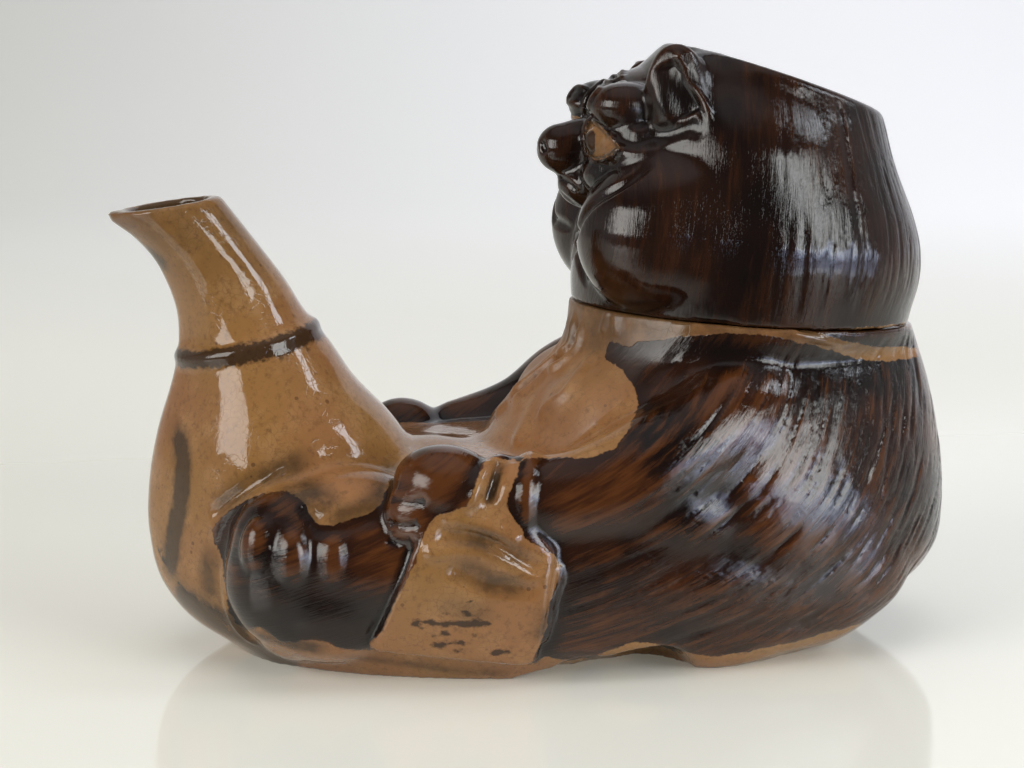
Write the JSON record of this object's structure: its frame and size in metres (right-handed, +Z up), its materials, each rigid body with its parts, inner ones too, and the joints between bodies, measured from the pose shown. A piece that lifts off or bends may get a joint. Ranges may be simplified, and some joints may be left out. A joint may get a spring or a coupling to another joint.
{
  "type": "figural sake bottle",
  "caption": "Glazed stoneware bottle shaped as a seated raccoon dog holding a flask whose neck pours; the hollow head lifts off as a lid.",
  "frame": {"origin": "centre of the bounding box, on the plane of the underside", "axes": "+X from the pouring lip towards the figure's back, +Z up, and -Y the side of the wrist that carries the account book"},
  "size_m": [0.1941, 0.1002, 0.1367],
  "materials": {
    "body_glaze": "glossy dark brown glaze combed with amber over the trunk, and glossy finely crazed buff glaze on flask, belly, book and neck",
    "head_glaze": "glossy dark brown glaze with amber streaks, buff glaze on the eyes"
  },
  "bodies": {
    "root": {"bottle_body": "body_glaze", "head_lid": "head_glaze"}
  },
  "joints": []
}
